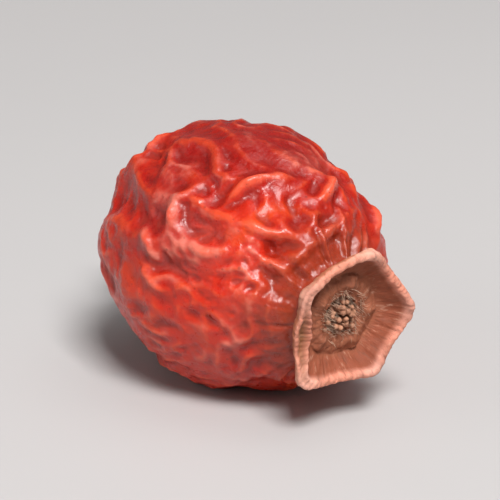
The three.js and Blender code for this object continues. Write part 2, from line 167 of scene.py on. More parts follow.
# Where the skin grows on over the collar's foot and gathers up round the stalk
CREEP_LIP = 0.06
CREEP_REACH = 0.42
CREEP_SWING = (0.16, 4)
CREEP_NICKS = (0.07, 13)
CREEP_CURVE = 1.7
CREEP_RINGS = 12
GATHER_REACH = 0.36
GATHER_SWING = (0.08, 3)
GATHER_NICKS = (0.04, 9)
GATHER_CURVE = 1.5
GATHER_RINGS = 10
GATHER_GAP = 0.02
HIDDEN_DEPTH = 0.1
SKIN_EDGE_WALL = 0.15
SKIN_EDGE_DROP = 0.03

# Colour marks: the top side darker as painted shade, the fold crests paler as painted highlight, and how far
# a tone reaches from each end
TOP_SHADE_WAY = (0.35, 0.35, 0.87)
TOP_SHADE_SPAN = (0.1, 1)
TOP_SHADE_MOST = 0.8
SHADE_PATCH_SIZE = 3.1
SHADE_PATCH_SWING = 0.5
FOLD_HIGHLIGHT_SPAN = (0.25, 0.8)
CREST_SCALE = 0.12
NECK_TINT = 1.6
STALK_TINT = 1.8
TINT_PAST = 0.2

# Collar
CORNER_ANGLES = (16, 92, 153, 227, 305)
CORNER_RADII = (3.35, 3.45, 3.2, 3.7, 3.4)
CORNER_ROUNDING = 7
CORNER_STEPS = 7
SIDE_BOW = 0.05
COLLAR_FOOT_RADIUS = 2.12
COLLAR_FOOT = HALF_LENGTH - COLLAR_SEAT_DEPTH + SEAT_GAP
COLLAR_HEIGHT = 1.8
COLLAR_COLUMNS = 360
OUTSIDE_RINGS = 30
RIM_RINGS = 19
INSIDE_RINGS = 36
DISH_RINGS = 30
FLARE = (0.1, 1.1)
WAIST_DEPTH = 0.1
WAIST_SHARE = 0.625
RIB_HEIGHT = 0.14
WALL_RIB = RIB_HEIGHT * 1.3
WALL_RIB_BREADTH = 9
RIB_START = (0.2, 0.6)
RIB_END = (0.85, 1)
FLUTES = (0.05, 16)
CORNER_LIFT = 0.14
LIFT_BREADTH = 20
RAGGED = (0.14, 2.4)
NICKS = (0.1, 11)
NICK_CREST = 0.01
FINE_NICKS = (0.05, 26)
RIM_CROWN = 0.2
CROWN_KNOBS = (0.35, 19)
RIM_WANDER = (0.07, 7)
RIM_WALL = 0.41
WALL_SWING = (0.12, 4)
THICK_SIDE = 264
THICK_BREADTH = 30
THICKER = 0.5
GROOVE_DEPTH = 0.34
GROOVE_BREADTH = 0.17
LEAST_LEAN = 0.05
INSIDE_LEAN = 0.8
INSIDE_DROP = 0.75
INSIDE_CREASE = 0.16
INSIDE_FOLDS = (0.1, 9)
INSIDE_FLUTES = (0.04, 24)
DISH_LEVEL = 0.82
DISH_RADIUS = 1.85
DISH_RIDGE = RIB_HEIGHT * 1.4
RIDGE_BREADTH = 11
RIDGE_FADE = 0.4
DISH_SWELL = 0.14
SWELL_RISE = (0, 0.5)
SWELL_FALL = (0.6, 0.9)
CRINKLE = (0.09, 3.4)
FINE_CRINKLE = (0.04, 9)
SOCKET_RADIUS = 0.95
SOCKET_LEVEL = 0.4
SOCKET_LIP = 0.87
LIP_WANDER = (0.12, 6)
LIP_WALL = 0.3
CORNER_HIGHLIGHT_BREADTH = 14

# The collar's profile, from 0 at its foot to 1 in the middle of the socket
RIM_FROM = 0.4
INSIDE_FROM = 0.6
DISH_FROM = 0.8
LIP_FROM = 0.95
SOCKET_FROM = 0.98

# Tuft of styles, and the silky hairs round them
TUFT_RADIUS = 0.78
TUFT_TOP = 1.42
TUFT_DOME = 0.35
TUFT_FILL = 0.86
STYLES = 30
STYLE_STEPS = 12
STYLE_SIDES = 10
STYLE_THICKNESS = (0.075, 0.105)
TIP_SWELL = 0.55
TIP_PLACE = 0.93
TIP_BREADTH = 0.09
HAIRS = 220
HAIR_STEPS = 6
HAIR_SIDES = 3
HAIR_RADIUS = 0.016
HAIR_TAPER = 0.85
HAIR_RING = (0.5, 1.25)
HAIR_LENGTH = (0.25, 0.6)
SOCKET_HAIR_EXTRA = 0.45
HAIR_ROOT_RISE = 0.08

# Stalk
STALK_RADIUS = 0.68
STALK_LENGTH = 1.9
STALK_BEND = 0.35
STALK_SWELL = 1.14
BREAK_SWELL = 0.1
STALK_COLUMNS = 96
BREAK_RINGS = 14
BARK_RINGS = 44
BREAK_MIDDLE = 0.93
BREAK_MIDDLE_LIFT = 0.86
STALK_RIBS = 7
STALK_RELIEF = 0.03
STALK_RIPPLES = (0.05, 4)
STALK_FLUTES = (0.03, 13)
STALK_WRINKLES = (0.03, 3)
FIBRES_ROUND = 11
TEAR = (0.26, 3)
FIBRE_TEAR = (0.12, 8)
SPLINTERS = (0.22, 5)
FINE_SPLINTERS = (0.14, 13)

# View, in metres: azimuth and elevation of the camera, its lens, the field's width at the hip, and its aim
VIEW_AZIMUTH = -36
VIEW_ELEVATION = 20.5
LENS = 180
NEAR_CLIP = 0.01
FIELD_WIDTH = 0.0222
AIM = Vector((0.0004, 0.0, 0.0056))

# Soft boxes, in metres and watts: name, azimuth, elevation, distance, size and power
SOFT_BOXES = [
    ("front_box", -20, 54, 0.5, 0.17, 3.9),
    ("top_box", 70, 74, 0.6, 0.4, 0.7),
    ("left_box", -110, 24, 0.6, 0.3, 0.4),
]
SURROUND_STRENGTH = 0.2
GROUND_REACH = 3.0


def look_from(obj, azimuth, elevation, distance):
    """Sets a camera or a light at an azimuth and elevation round the hip, turned to look at it."""
    side, up = np.radians(azimuth), np.radians(elevation)
    way = Vector((np.sin(side) * np.cos(up), -np.cos(side) * np.cos(up), np.sin(up)))
    obj.location = AIM + distance * way
    obj.rotation_euler = (AIM - obj.location).to_track_quat("-Z", "Y").to_euler()


def make_camera():
    """A long lens at the photograph's angle, looking down on the hip."""
    camera = bpy.data.objects.new("camera", bpy.data.cameras.new("camera"))
    bpy.context.scene.collection.objects.link(camera)
    camera.data.lens = LENS
    camera.data.clip_start = NEAR_CLIP
    look_from(camera, VIEW_AZIMUTH, VIEW_ELEVATION, FIELD_WIDTH * LENS / camera.data.sensor_width)
    bpy.context.scene.camera = camera


make_camera()


# Arithmetic of surfaces

def smooth(value, low, high):
    """0 below low, 1 above high, and an S-shaped ease between."""
    t = np.clip((value - low) / (high - low), 0, 1)
    return t * t * (3 - 2 * t)


def blend(start, end, share):
    """The value a share of the way from start to end."""
    return start + (end - start) * share


def corner_slope(ix, iy, iz, dx, dy, dz):
    """A grid corner's slope, drawn from its hashed indices, times the way from the corner."""
    mixed = ix * np.uint32(0x8DA6B343) ^ iy * np.uint32(0xD8163841) ^ iz * np.uint32(0xCB1AB31F)
    mixed = (mixed ^ (mixed >> np.uint32(13))) * np.uint32(0x5BD1E995)
    mixed = mixed ^ (mixed >> np.uint32(15))
    slopes = [((mixed >> np.uint32(shift)) & np.uint32(1023)) / 511.5 - 1 for shift in (0, 10, 20)]
    return slopes[0] * dx + slopes[1] * dy + slopes[2] * dz


def noise(x, y, z):
    """Smooth noise of space: the slopes of a cell's corners, mixed by an eased share of each axis.

    A number added to an input only picks another stretch of the noise.
    """
    x, y, z = np.broadcast_arrays(x, y, z)
    low = [np.floor(v) for v in (x, y, z)]
    part = [v - f for v, f in zip((x, y, z), low)]
    index = [f.astype(np.int64).astype(np.uint32) for f in low]
    ease = [t * t * t * (t * (t * 6 - 15) + 10) for t in part]
    total = np.zeros(x.shape)
    for corner in range(8):
        step = (corner & 1, (corner >> 1) & 1, corner >> 2)
        share = np.ones(x.shape)
        for e, s in zip(ease, step):
            share = share * (e if s else 1 - e)
        cell = [i + np.uint32(s) for i, s in zip(index, step)]
        away = [p - s for p, s in zip(part, step)]
        total += share * corner_slope(*cell, *away)
    return total


def ripple(angle, relief, along, shift=0, spread=1):
    """A relief round the hip: its height times noise on a circle whose radius is its waves times a spread."""
    height, waves = relief
    radius = waves * spread
    return height * noise(radius * np.sin(angle) + shift, along, radius * np.cos(angle))


def crumple(value, rounding=CREST_ROUNDING):
    """Zero on a crest, falling away to a hollow facet on both sides: a blunted minus-absolute-value."""
    return rounding - np.sqrt(value * value + rounding * rounding)


def around(angle, radius, station):
    """Points at an angle round the hip (from +Z to +X), a distance off its line and a station along it."""
    angle, radius, station = np.broadcast_arrays(angle, radius, station)
    return np.stack([radius * np.sin(angle), -station, radius * np.cos(angle)], -1)


def egg(turn):
    """The plain egg: radius a tapered power of the sine of the turn, station from its cosine."""
    radius = BELLY_RADIUS * np.sin(turn) ** EGG_ROUNDNESS * (1 + EGG_TAPER * np.cos(turn))
    return radius, WHOLE_EGG * (1 - np.cos(turn)) / 2 - HALF_LENGTH


def turn_at(station):
    """The turn round the egg at which it reaches a station."""
    return np.arccos(1 - 2 * (station + HALF_LENGTH) / WHOLE_EGG)


STALK_END = egg(np.radians(STALK_END_TURN))[1]
STALK_START = STALK_END + STALK_SEAT_DEPTH - SEAT_GAP


def egg_frame(angle, turn):
    """Place on the egg, and its outward, lengthwise and sideways directions, by a small step of turn."""
    radius, station = egg(turn)
    next_radius, next_station = egg(turn + TURN_STEP)
    rise, run = next_radius - radius, next_station - station
    length = np.hypot(rise, run)
    rise, run = rise / length, run / length
    out = np.stack(np.broadcast_arrays(run * np.sin(angle), rise, run * np.cos(angle)), -1)
    along = np.stack(np.broadcast_arrays(rise * np.sin(angle), -run, rise * np.cos(angle)), -1)
    side = np.stack(np.broadcast_arrays(np.cos(angle), 0.0, -np.sin(angle)), -1)
    return around(angle, radius, station), out, along, side


def on_egg(degrees, station):
    """The point of the egg at an angle round the hip, in degrees, and a station along it."""
    return egg_frame(np.radians(degrees), turn_at(station))[0]


def fold_rise(place, angle, station, heading, length, width, height, bow):
    """A bowed pinch of skin: a blunt-topped tent across its line less a bell, dying away to its ends."""
    middle, out, along, side = egg_frame(np.radians(angle), turn_at(station))
    forward = along * np.cos(np.radians(heading)) + side * np.sin(np.radians(heading))
    across = np.cross(out, forward)
    way = place - middle
    share = way @ forward / length
    off = (way @ across - bow * share ** 2 * length ** 2) / width
    reach = np.exp(-FOLD_TAPER * share ** 2) * np.exp(-np.sum(way * way, -1) / FOLD_BOUND ** 2)
    tent = np.exp(-FOLD_STEEPNESS * (np.sqrt(off * off + FOLD_BLUNTNESS ** 2) - FOLD_BLUNTNESS))
    trough = np.exp(-(off / TROUGH_BREADTH) ** 2)
    return height * reach * (FOLD_CREST * tent - FOLD_TROUGH * trough)


def skin_rise(place, angle, station):
    """How far the dried skin stands off the egg, as on the solid: lumps, pleats, net, folds and dents.

    The net and the pleats are crumpled noise, shallower on taut places and beside folds. Returns the rise,
    the share of wrinkles that the taut places leave, and the warped place that the net is read at.
    """
    x, y, z = np.moveaxis(place, -1, 0)
    warped = [
        x + WARP_REACH * noise(x / WARP_SIZE + 7.3, y / WARP_SIZE, z / WARP_SIZE),
        y + WARP_REACH * noise(x / WARP_SIZE, y / WARP_SIZE + 19.1, z / WARP_SIZE),
        z + WARP_REACH * noise(x / WARP_SIZE, y / WARP_SIZE, z / WARP_SIZE + 31.7),
    ]
    lump = LUMP_HEIGHT * noise(x / LUMP_SIZE + 3.4, y / LUMP_SIZE + 1.9, z / LUMP_SIZE)
    sway = angle + PLEAT_SWAY * noise(x / SWAY_SIZE, y / SWAY_SIZE + 5.5, z / SWAY_SIZE)
    pleat = crumple(ripple(sway, (1, PLEATS_ROUND / FULL_TURN), station / PLEAT_LENGTH, 11.2))
    net = crumple(noise(
        warped[0] / NET_SIZE + 2.2, warped[1] / (NET_SIZE * NET_STRETCH), warped[2] / NET_SIZE + 4.7))
    patches = PATCH_MEAN + PATCH_SWING * noise(x / PATCH_SIZE, y / PATCH_SIZE, z / PATCH_SIZE + 9.9)
    end_pull = PLEAT_AT_BELLY + PLEAT_TO_END * (np.abs(station) / HALF_LENGTH) ** 2
    slack = np.ones(x.shape)
    for taut_angle, taut_station, reach, share in TAUT_PLACES:
        far = np.linalg.norm(place - on_egg(taut_angle, taut_station), axis=-1)
        slack = np.minimum(slack, blend(share, 1, smooth(far, reach * TAUT_CORE, reach)))
    rise = slack * (PLEAT_DEPTH * end_pull * pleat + NET_DEPTH * patches * net)
    crests = [fold_rise(place, *fold) for fold in FOLDS]
    beside_fold = np.minimum(1, np.max(np.abs(crests), 0) / FOLD_FULL_RISE)
    rise = rise * (1 - CLEAR_OF_NET * beside_fold) + np.sum(crests, 0)
    for dent_angle, dent_station, reach, depth in DENTS:
        way = place - on_egg(dent_angle, dent_station)
        rise = rise - depth * np.exp(-np.sum(way ** 2, -1) / reach ** 2)
    fade = smooth(HALF_LENGTH - np.abs(station), 0, END_FADE)
    return (rise + lump) * fade, slack, warped


def press_flat(points):
    """What lies below the ground's level is moved up onto it along the ground's normal."""
    down = np.array([0, -np.sin(np.radians(NOSE_DOWN)), -np.cos(np.radians(NOSE_DOWN))])
    below = np.maximum(points @ down - REST_LEVEL, 0)
    return points - below[..., None] * down


def nose_down(points):
    """The hip's own frame turned about X by the angle at which its calyx hangs."""
    tilt = np.radians(NOSE_DOWN)
    x, y, z = np.moveaxis(points, -1, 0)
    return np.stack([x, y * np.cos(tilt) - z * np.sin(tilt), y * np.sin(tilt) + z * np.cos(tilt)], -1)


def angles(columns):
    """Even angles round the hip, as one row."""
    return np.arange(columns) / columns * FULL_TURN


def egg_grid(rows, columns):
    """Angles as a row and turns as a column, even from the stalk's end of the egg to its neck."""
    turn = np.radians(blend(STALK_END_TURN, NECK_TURN, np.arange(rows + 1) / rows))
    return angles(columns)[None, :], turn[:, None]


def frame_offset():
    """From the hip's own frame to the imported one: the same coarse skin as the solid's, set in its box."""
    angle, turn = egg_grid(CAD_ROWS, CAD_COLUMNS)
    place, out, _, _ = egg_frame(angle, turn)
    radius, station = egg(turn)
    rise, _, _ = skin_rise(place, angle, station + 0 * angle)
    lip = around(angle, STALK_SEAT_RADIUS + STALK_LIP_WIDTH, STALK_END - STALK_LIP_RISE)
    neck_radius = blend(radius[-1, 0], COLLAR_SEAT_RADIUS, NECK_LIP_SHARE)
    neck = around(angle, neck_radius, HALF_LENGTH + NECK_LIP_RISE)
    rings = np.concatenate([lip, press_flat(place + out * rise[..., None]), neck])
    coarse = nose_down(rings).reshape(-1, 3)
    low, high = (np.array(corner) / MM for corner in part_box("hip_flesh"))
    offset = (low + high) / 2 - (coarse.min(0) + coarse.max(0)) / 2
    offset[2] = REST_LEVEL
    return offset


OFFSET = frame_offset()


def in_frame(points):
    """Points of the hip's own frame, in millimetres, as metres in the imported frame."""
    return (nose_down(np.asarray(points, float)) + OFFSET) * MM


def new_piece(name, vertices, faces, finish, uvs=None, marks=None):
    """A mesh object from points in the hip's frame, with its finish, UV map and point attributes."""
    mesh = bpy.data.meshes.new(name)
    mesh.from_pydata(in_frame(vertices), [], faces)
    mesh.shade_smooth()
    if uvs is not None:
        corners = np.zeros(len(mesh.loops), np.int32)
        mesh.loops.foreach_get("vertex_index", corners)
        layer = mesh.uv_layers.new(name="surface")
        layer.data.foreach_set("uv", uvs[corners].astype(np.float32).ravel())
    for mark, values in (marks or {}).items():
        attribute = mesh.attributes.new(mark, "FLOAT", "POINT")
        attribute.data.foreach_set("value", np.asarray(values, np.float32).ravel())
    mesh.update()
    mesh.materials.append(finish)
    piece = bpy.data.objects.new(name, mesh)
    bpy.context.scene.collection.objects.link(piece)
    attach(piece, "root")
    return piece


def grid_faces(rows, columns, start=0):
    """Four-sided faces between closed rows of points, facing out for rows laid towards -Y."""
    row, column = np.meshgrid(np.arange(rows - 1), np.arange(columns), indexing="ij")
    beside = (column + 1) % columns
    near, far = row * columns + column, (row + 1) * columns + column
    near_beside, far_beside = row * columns + beside, (row + 1) * columns + beside
    return (np.stack([near, far, far_beside, near_beside], -1).reshape(-1, 4) + start).tolist()


def closed_skin(rings, first, last):
    """Points and faces of a skin through rings of points, with a single point closing each end."""
    rows, columns = rings.shape[:2]
    points = np.concatenate([rings.reshape(-1, 3), first[None], last[None]])
    faces = grid_faces(rows, columns)
    beside = [(column + 1) % columns for column in range(columns)]
    top = (rows - 1) * columns
    faces += [(rows * columns, column, beside[column]) for column in range(columns)]
    faces += [(top + column, rows * columns + 1, top + beside[column]) for column in range(columns)]
    return points, faces


def with_ends(values, first, last):
    """Values on the rings' points followed by those of the two end points."""
    return np.concatenate([np.asarray(values, float).ravel(), [first, last]])


def grid_marks(shares, angle):
    """Two grids of one shape: each row's own share, and each column's share of the turn round the hip."""
    return np.meshgrid(shares, angle / FULL_TURN, indexing="ij")


# Skin

def spokes(angle, station):
    """Puckers that run out from both ends of the hip: crumpled noise stretched along it."""
    sway = angle + ripple(angle, SPOKE_SWAY, station / 2 + 3.7)
    x, z = SPOKE_TURNS * np.sin(sway), SPOKE_TURNS * np.cos(sway)
    raw = noise(x + 3, station / SPOKE_LENGTH + 1.4, z)
    side = noise(x * SIDE_SPOKE_TIMES, station / SIDE_SPOKE_LENGTH, z * SIDE_SPOKE_TIMES + 5)
    return SPOKE_DEPTH * (crumple(raw + SIDE_SPOKE_SHARE * side, FINE_ROUNDING) + SPOKE_MEAN)


def small_wrinkles(x, y, z):
    """What is too fine for the solid: a fine net and crepe in patches, both crumpled noise, and puckers."""
    net = noise(x / FINE_NET_SIZE + 5.1, y / (FINE_NET_SIZE * FINE_NET_STRETCH), z / FINE_NET_SIZE)
    crepe = noise(x / CREPE_SIZE + 1.7, y / (CREPE_SIZE * CREPE_STRETCH), z / CREPE_SIZE + 6.1)
    patch = noise(x / CREPE_PATCH_SIZE, y / CREPE_PATCH_SIZE + 4.4, z / CREPE_PATCH_SIZE)
    pucker = noise(x / PUCKER_SIZE, y / PUCKER_SIZE + 3.3, z / PUCKER_SIZE + 8.8)
    net_rise = FINE_NET_DEPTH * (crumple(net, FINE_ROUNDING) + FINE_NET_MEAN)
    crepe_rise = CREPE_DEPTH * (crumple(crepe, CREPE_ROUNDING) + CREPE_MEAN)
    patchy = smooth(patch, -CREPE_PATCH_EDGE, CREPE_PATCH_EDGE)
    return net_rise + crepe_rise * patchy + PUCKER_HEIGHT * pucker


def creep(angle, edge, foot_radius, foot_station, power, rounds):
    """Rings from the skin's last row on to its end on a foot: a hollow curve, its edge swollen and uneven.

    The radius falls from the row's to the foot's by a power of the way left, while the station runs evenly.
    """
    radius, station = np.hypot(edge[:, 0], edge[:, 2]), -edge[:, 1]
    rings = []
    for share in np.linspace(0, 1, rounds + 1)[1:]:
        fallen = foot_radius(share) + (radius - foot_radius(0)) * (1 - share) ** power
        ring = around(angle, fallen, blend(station, foot_station, share))
        swollen = CREEP_LIP * np.sqrt(1 - share ** 6) * smooth(share, 0, 0.5)
        wrinkled = FINE_LEFT * small_wrinkles(*ring.T) * (1 - share)
        rings.append(ring + around(angle, swollen + wrinkled, 0))
    return np.stack(rings)


def neck_creep(angle, edge):
    """Rings where the skin grows on over the collar's foot and turns in there to close inside the collar."""
    reach = CREEP_REACH + ripple(angle, CREEP_SWING, 7.7, 2) + ripple(angle, CREEP_NICKS, 3.1)

    def wall(share):
        return collar_wall(angle, (HALF_LENGTH + reach * share - COLLAR_FOOT) / (COLLAR_HEIGHT - RIM_CROWN))

    rings = creep(angle, edge, wall, HALF_LENGTH + reach, CREEP_CURVE, CREEP_RINGS)
    turned_in = around(angle, wall(1) - SKIN_EDGE_WALL, HALF_LENGTH + reach - SKIN_EDGE_DROP)
    inside = around(angle, COLLAR_FOOT_RADIUS * 0.5, HALF_LENGTH - HIDDEN_DEPTH)
    return np.concatenate([rings, [turned_in, inside]])


def stalk_creep(angle, edge):
    """Rings where the skin gathers up round the stalk, listed from inside the stalk out to the body."""
    uneven = ripple(angle, GATHER_SWING, 2.7, 6) + ripple(angle, GATHER_NICKS, 1.9)
    foot = STALK_RADIUS * STALK_SWELL
    end = STALK_END - GATHER_REACH
    rings = creep(angle, edge, lambda share: foot + GATHER_GAP, end - uneven, GATHER_CURVE, GATHER_RINGS)
    turned_in = around(angle, foot * 0.8, end)
    inside = around(angle, foot * 0.4, STALK_END - HIDDEN_DEPTH)
    return np.concatenate([rings, [turned_in, inside]])[::-1]


def local_height(height, rounds=14):
    """How far each point stands above the mean round it, by repeated averages of its neighbours."""
    mean = np.copy(height)
    for _ in range(rounds):
        sides = (np.roll(mean, 1, 1) + np.roll(mean, -1, 1)) / 2
        ends = (np.roll(mean, 1, 0) + np.roll(mean, -1, 0)) / 2
        ends[0], ends[-1] = mean[0], mean[-1]
        mean = (sides + ends) / 2
    return height - mean


def make_skin():
    """The wrinkled skin: the egg's surface moved out by skin_rise, and by a finer net, puckers and spokes.

    Rows run from inside the stalk, round the egg and over the neck until they end inside the collar.
    """
    angle, turn = egg_grid(SKIN_ROWS, SKIN_COLUMNS)
    place, out, _, _ = egg_frame(angle, turn)
    station = egg(turn)[1] + 0 * angle
    rise, slack, (x, y, z) = skin_rise(place, angle, station)
    faded = smooth(HALF_LENGTH - np.abs(station), 0, FINE_FADE)
    keep = blend(FINE_LEFT, 1, slack) * blend(FINE_LEFT, 1, faded)
    near_end = smooth(np.abs(station), HALF_LENGTH * SPOKED_FROM, HALF_LENGTH * SPOKED_FULLY)
    on_fold = np.max([fold_rise(place, *fold) / fold[5] for fold in FOLDS], 0)
    creases = crumple(noise(x / CREASE_SIZE + 4.2, y / CREASE_SIZE, z / CREASE_SIZE + 2.6), FINE_ROUNDING)
    detail = keep * small_wrinkles(x, y, z) + near_end * spokes(angle, station)
    detail = detail + CREASE_DEPTH * smooth(on_fold, *CREASED_FOLD) * (creases + CREASE_MEAN)
    body = press_flat(place + out * (rise + detail)[..., None])

    before, after = stalk_creep(angle[0], body[0]), neck_creep(angle[0], body[-1])
    rings = np.concatenate([before, body, after])
    first, last = around(0, 0, STALK_END - HIDDEN_DEPTH), around(0, 0, HALF_LENGTH - HIDDEN_DEPTH)
    points, faces = closed_skin(rings, first, last)

    def padded(values, at_stalk, at_neck):
        start, end = np.full(before.shape[:2], float(at_stalk)), np.full(after.shape[:2], float(at_neck))
        return with_ends(np.concatenate([start, values, end]), at_stalk, at_neck)

    # Painted shade: the top side of the hip a deeper red, in patches
    shade_patch = noise(x / SHADE_PATCH_SIZE, y / SHADE_PATCH_SIZE + 2.2, z / SHADE_PATCH_SIZE)
    painted_top_shade = smooth(out @ np.array(TOP_SHADE_WAY), *TOP_SHADE_SPAN) + SHADE_PATCH_SWING * shade_patch
    marks = {
        # The fold mark is a painted highlight on the fold crests, and the top-side mark is painted shade
        "on_fold": padded(smooth(on_fold, *FOLD_HIGHLIGHT_SPAN), 0, 0),
        "painted_top_shade": padded(np.clip(TOP_SHADE_MOST * painted_top_shade, 0, TOP_SHADE_MOST), 0, 0),
        "crest": padded(np.clip(0.5 + local_height(rise + detail) / CREST_SCALE, 0, 1), 0.5, 0.5),
        "to_neck": padded(smooth(station, HALF_LENGTH - NECK_TINT, HALF_LENGTH + TINT_PAST), 0, 1),
        "to_stalk": padded(smooth(-station, HALF_LENGTH - STALK_TINT, HALF_LENGTH + TINT_PAST), 1, 0),
    }
    return new_piece("dried_skin_surface", points, faces, skin_finish(), marks=marks)


# Collar

def sharp_outline(degrees):
    """Straight sides between corners in polar form, each bulging a little as half a sine."""
    result = np.zeros(np.shape(degrees))
    for corner, near in enumerate(CORNER_RADII):
        beside = (corner + 1) % len(CORNER_RADII)
        span = (CORNER_ANGLES[beside] - CORNER_ANGLES[corner]) % 360
        way = (degrees - CORNER_ANGLES[corner]) % 360
        far = CORNER_RADII[beside]
        between = near * np.sin(np.radians(way)) + far * np.sin(np.radians(span - way))
        inside = way <= span
        straight = near * far * np.sin(np.radians(span)) / np.where(inside, between, 1)
        result = np.where(inside, straight * (1 + SIDE_BOW * np.sin(np.pi * way / span)), result)
    return result


def outline(angle):
    """The five-angled outline with its corners rounded: its mean over a few degrees each side."""
    steps = np.linspace(-CORNER_ROUNDING, CORNER_ROUNDING, CORNER_STEPS)
    return np.mean([sharp_outline(np.degrees(angle) + step) for step in steps], 0)


def bell(angle, middle, breadth):
    """1 at an angle round the hip, falling as a bell of the given breadth, both in degrees."""
    away = (np.degrees(angle) - middle + 540) % 360 - 180
    return np.exp(-(away / breadth) ** 2)


def corner_share(angle, breadth):
    """1 on the line from the middle to a corner, falling as a bell of the given breadth in degrees."""
    return np.max([bell(angle, corner, breadth) for corner in CORNER_ANGLES], 0)


def collar_wall(angle, share):
    """The collar's outer radius: an S-curve from foot to rim, less a waist, with ribs to the corners."""
    ribbed = smooth(share, *RIB_START) * (1 - smooth(share, *RIB_END))
    rib = WALL_RIB * corner_share(angle, WALL_RIB_BREADTH) * ribbed
    waist = WAIST_DEPTH * np.sin(np.pi * np.minimum(1, share / WAIST_SHARE))
    return blend(COLLAR_FOOT_RADIUS, outline(angle), smooth(share, *FLARE)) - waist + rib


def rim_shape(angle):
    """Height, radius and wall of the rim round the collar, and how much it belongs to the thick side.

    Its height rises to the corners, wanders and is nicked. One side's wall is thicker, as a bell.
    """
    nicks = np.minimum(ripple(angle, NICKS, 5.2), NICK_CREST) + ripple(angle, FINE_NICKS, 1.2)
    lifted = COLLAR_HEIGHT - CORNER_LIFT + 2 * CORNER_LIFT * corner_share(angle, LIFT_BREADTH)
    height = lifted + ripple(angle, RAGGED, 3.1, 0.7) + nicks
    radius = outline(angle) + ripple(angle, RIM_WANDER, 8.7)
    thick = bell(angle, THICK_SIDE, THICK_BREADTH)
    wall = RIM_WALL + ripple(angle, WALL_SWING, 2.2, 5) + THICKER * thick
    return height, radius, wall, thick


def outside_rows(angle, rim):
    """Up the fluted outside, where radius and height near the rim's own."""
    rim_height, rim_radius, _, _ = rim
    for share in np.linspace(0.04, 1, OUTSIDE_RINGS):
        flutes = ripple(angle, FLUTES, share * 1.5) * smooth(share, 0.3, 0.6)
        uneven = (rim_radius - outline(angle)) * smooth(share, 0.4, 1)
        radius = collar_wall(angle, share) + uneven + flutes
        yield radius, share * (rim_height - RIM_CROWN), share * RIM_FROM, 0


def rim_rows(angle, rim):
    """Over the rim: half a turn across its wall, crowned as a sine, grooved along the thick side."""
    rim_height, rim_radius, wall, thick = rim
    for step in np.linspace(0.08, 0.92, RIM_RINGS):
        radius = rim_radius - wall / 2 + wall / 2 * np.cos(np.pi * step)
        crown = RIM_CROWN * np.sin(np.pi * step) * (1 + ripple(angle, CROWN_KNOBS, step * 2))
        groove = thick * np.exp(-((step - 0.5) / GROOVE_BREADTH) ** 2)
        height = rim_height - RIM_CROWN + crown - GROOVE_DEPTH * groove
        yield radius, height, blend(RIM_FROM, INSIDE_FROM, step), groove


def inside_rows(angle, rim, dish_radius):
    """Down the inside, by powers of the way to the dish, creased to the corners and folded."""
    rim_height, rim_radius, wall, _ = rim
    for share in np.linspace(0.04, 1, INSIDE_RINGS):
        crease = INSIDE_CREASE * corner_share(angle, RIDGE_BREADTH)
        fold = ripple(angle, INSIDE_FOLDS, share * 1.2 + 7) + ripple(angle, INSIDE_FLUTES, share * 3)
        leaning = blend(rim_radius - wall, dish_radius, share ** INSIDE_LEAN)
        height = blend(rim_height - RIM_CROWN, DISH_LEVEL, share ** INSIDE_DROP)
        radius = leaning + (crease + fold) * np.sin(np.pi * share)
        yield radius, height, blend(INSIDE_FROM, DISH_FROM, share), 0


def dish_rows(angle, dish_radius, lip):
    """In across the dish to the socket's lip: swollen, with a ridge towards each corner, and crinkled."""
    for share in np.linspace(0, 1, DISH_RINGS):
        radius = blend(dish_radius - LEAST_LEAN, lip, share)
        ridged = smooth(radius, SOCKET_RADIUS, SOCKET_RADIUS + RIDGE_FADE)
        ridge = DISH_RIDGE * corner_share(angle, RIDGE_BREADTH) * ridged
        inset = dish_radius - radius
        swell = DISH_SWELL * smooth(inset, *SWELL_RISE) * (1 - smooth(inset, *SWELL_FALL) / 2)
        crinkle = ripple(angle, CRINKLE, 6.0, 1, radius) + ripple(angle, FINE_CRINKLE, 2.5, 1, radius)
        yield radius, DISH_LEVEL + ridge + swell + crinkle, blend(DISH_FROM, LIP_FROM, share), 0


def make_collar():
    """The woody cup: rows run up its flared outside, over the rim, down inside and across the dish.

    Each row is a radius, a height over the foot, a place on the profile and a depth in the groove.
    """
    angle = angles(COLLAR_COLUMNS)
    rim = rim_shape(angle)
    _, rim_radius, wall, _ = rim
    dish_radius = np.minimum(DISH_RADIUS, rim_radius - wall - LEAST_LEAN)
    lip = SOCKET_LIP + ripple(angle, LIP_WANDER, 4.4, 9)
    rows = [
        (COLLAR_FOOT_RADIUS * 0.6, 0, 0, 0),
        (COLLAR_FOOT_RADIUS - 0.1, 0, 0, 0),
        *outside_rows(angle, rim),
        *rim_rows(angle, rim),
        *inside_rows(angle, rim, dish_radius),
        *dish_rows(angle, dish_radius, lip),
        (lip - 0.02, SOCKET_LEVEL + LIP_WALL, SOCKET_FROM, 0),
        (lip - 0.02, SOCKET_LEVEL, 1, 0),
        (SOCKET_RADIUS * 0.5, SOCKET_LEVEL, 1, 0),
    ]
    rings = np.stack([around(angle, radius, COLLAR_FOOT + height) for radius, height, _, _ in rows])
    points, faces = closed_skin(rings, around(0, 0, COLLAR_FOOT), around(0, 0, COLLAR_FOOT + SOCKET_LEVEL))
    profile, turn = grid_marks([row[2] for row in rows], angle)
    # Painted highlight: a pale pink at each corner of the rim
    corner = corner_share(turn * FULL_TURN, CORNER_HIGHLIGHT_BREADTH)
    groove = np.stack([row[3] + 0 * angle for row in rows])
    uvs = np.stack([with_ends(turn, 0, 0), with_ends(profile, 0, 1)], -1)
    marks = {
        "profile": with_ends(profile, 0, 1),
        "corner": with_ends(corner, 0, 0),
        "groove": with_ends(groove, 0, 0),
    }
    return new_piece("calyx_collar_surface", points, faces, collar_finish(), uvs, marks)


# Styles and hairs

